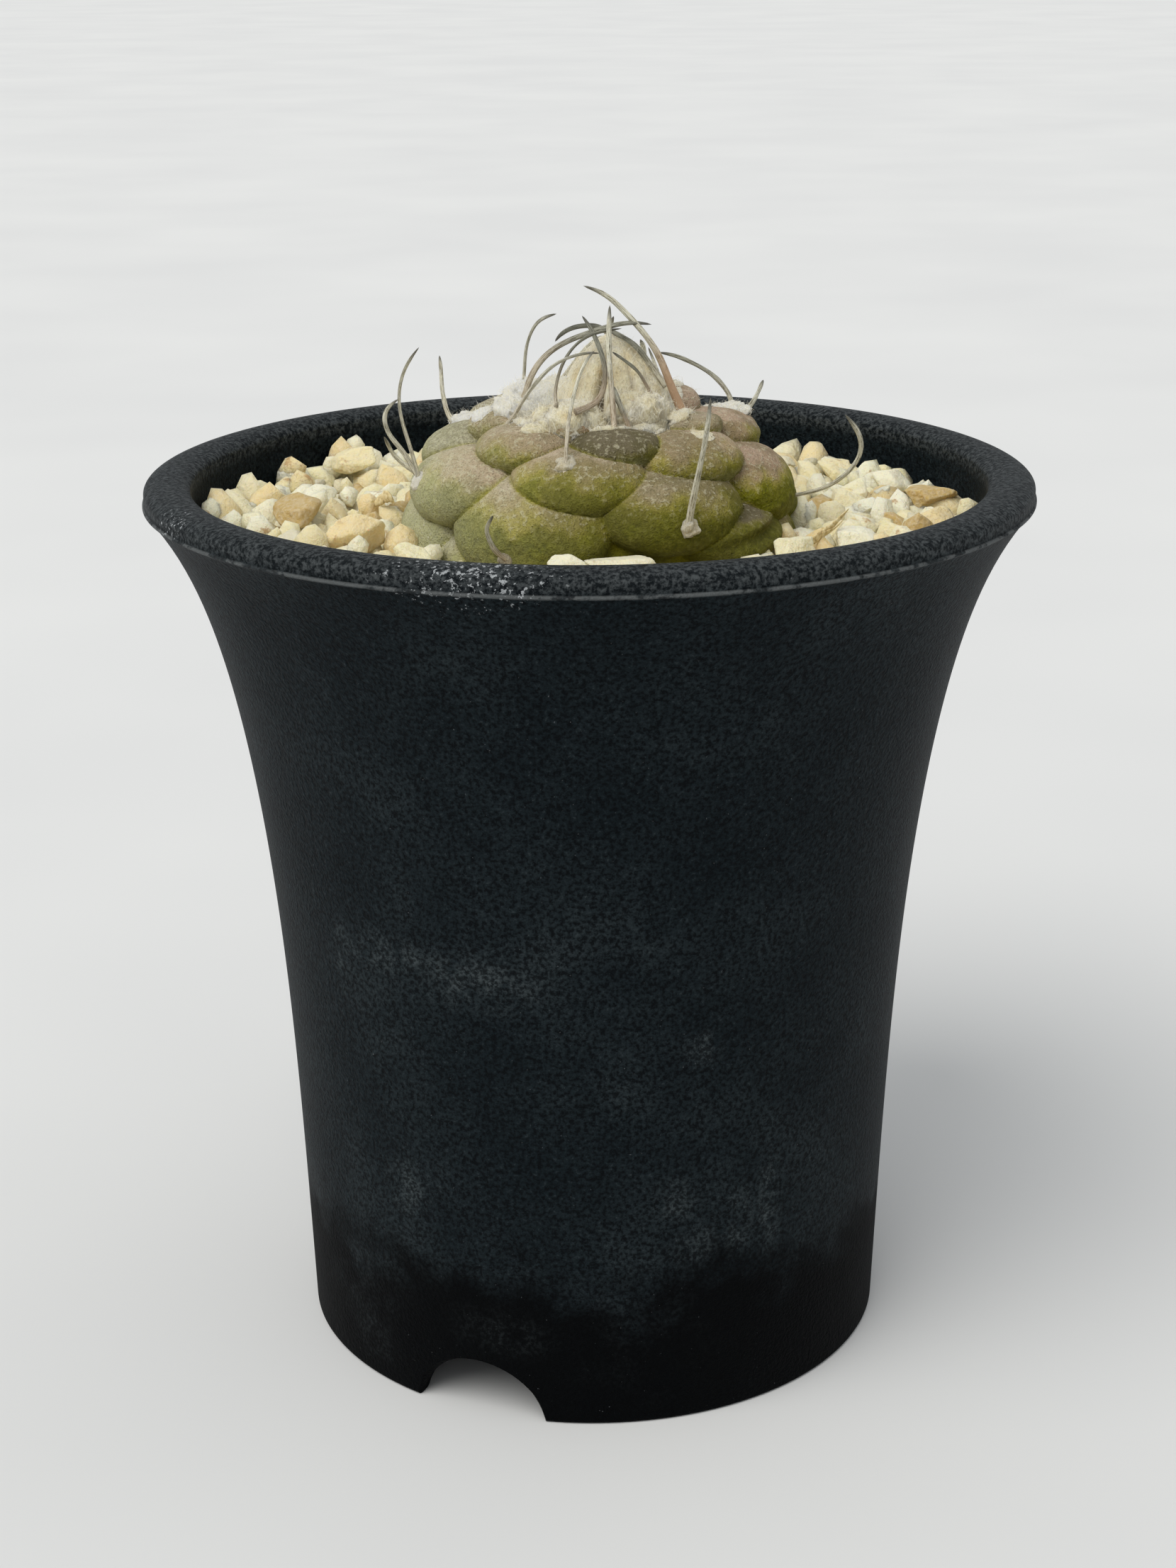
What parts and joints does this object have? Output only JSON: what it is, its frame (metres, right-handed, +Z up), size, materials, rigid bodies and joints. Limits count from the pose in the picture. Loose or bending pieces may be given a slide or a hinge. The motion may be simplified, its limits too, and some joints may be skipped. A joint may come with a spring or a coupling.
{
  "type": "potted round cactus",
  "caption": "Small round grey-green cactus with a woolly crown and curling spines, standing in pale gravel in a tall flared black plastic pot.",
  "frame": {"origin": "centre of the pot's foot, on the surface that it stands on", "axes": "+Z up, -Y towards the front of the plant, +X to its right"},
  "size_m": [0.09, 0.09, 0.1109],
  "materials": {
    "pot_plastic": "matte",
    "potting_mix": "matte",
    "gravel": "matte",
    "cactus_skin": "matte",
    "wool": "matte",
    "spine": "matte",
    "straw": "matte"
  },
  "bodies": {
    "root": {"pot": "pot_plastic", "potting_mix": "potting_mix", "gravel_bed": "gravel", "gravel_stone_01": "gravel", "gravel_stone_02": "gravel", "gravel_stone_03": "gravel", "gravel_stone_04": "gravel", "gravel_stone_05": "gravel", "gravel_stone_06": "gravel", "gravel_stone_07": "gravel", "gravel_stone_08": "gravel", "gravel_stone_09": "gravel", "gravel_stone_10": "gravel", "gravel_stone_11": "gravel", "gravel_stone_12": "gravel", "cactus_stem": "cactus_skin", "crown_wool": "wool", "areole_wool_01": "wool", "areole_wool_02": "wool", "areole_wool_03": "wool", "areole_wool_04": "wool", "areole_wool_05": "wool", "areole_wool_06": "wool", "areole_wool_07": "wool", "areole_wool_08": "wool", "areole_wool_09": "wool", "areole_wool_10": "wool", "areole_wool_11": "wool", "areole_wool_12": "wool", "areole_wool_13": "wool", "areole_wool_14": "wool", "spine_01": "spine", "spine_02": "spine", "spine_03": "spine", "spine_04": "spine", "spine_05": "spine", "spine_06": "spine", "spine_07": "spine", "spine_08": "spine", "spine_09": "spine", "spine_10": "spine", "spine_11": "spine", "spine_12": "spine", "spine_13": "spine", "spine_14": "spine", "spine_15": "spine", "spine_16": "spine", "spine_17": "spine", "spine_18": "spine", "spine_19": "spine", "spine_20": "spine", "spine_21": "spine", "spine_22": "spine", "spine_23": "spine", "spine_24": "spine", "spine_25": "spine", "spine_26": "spine", "spine_27": "spine", "dry_stalk": "straw"}
  },
  "joints": []
}
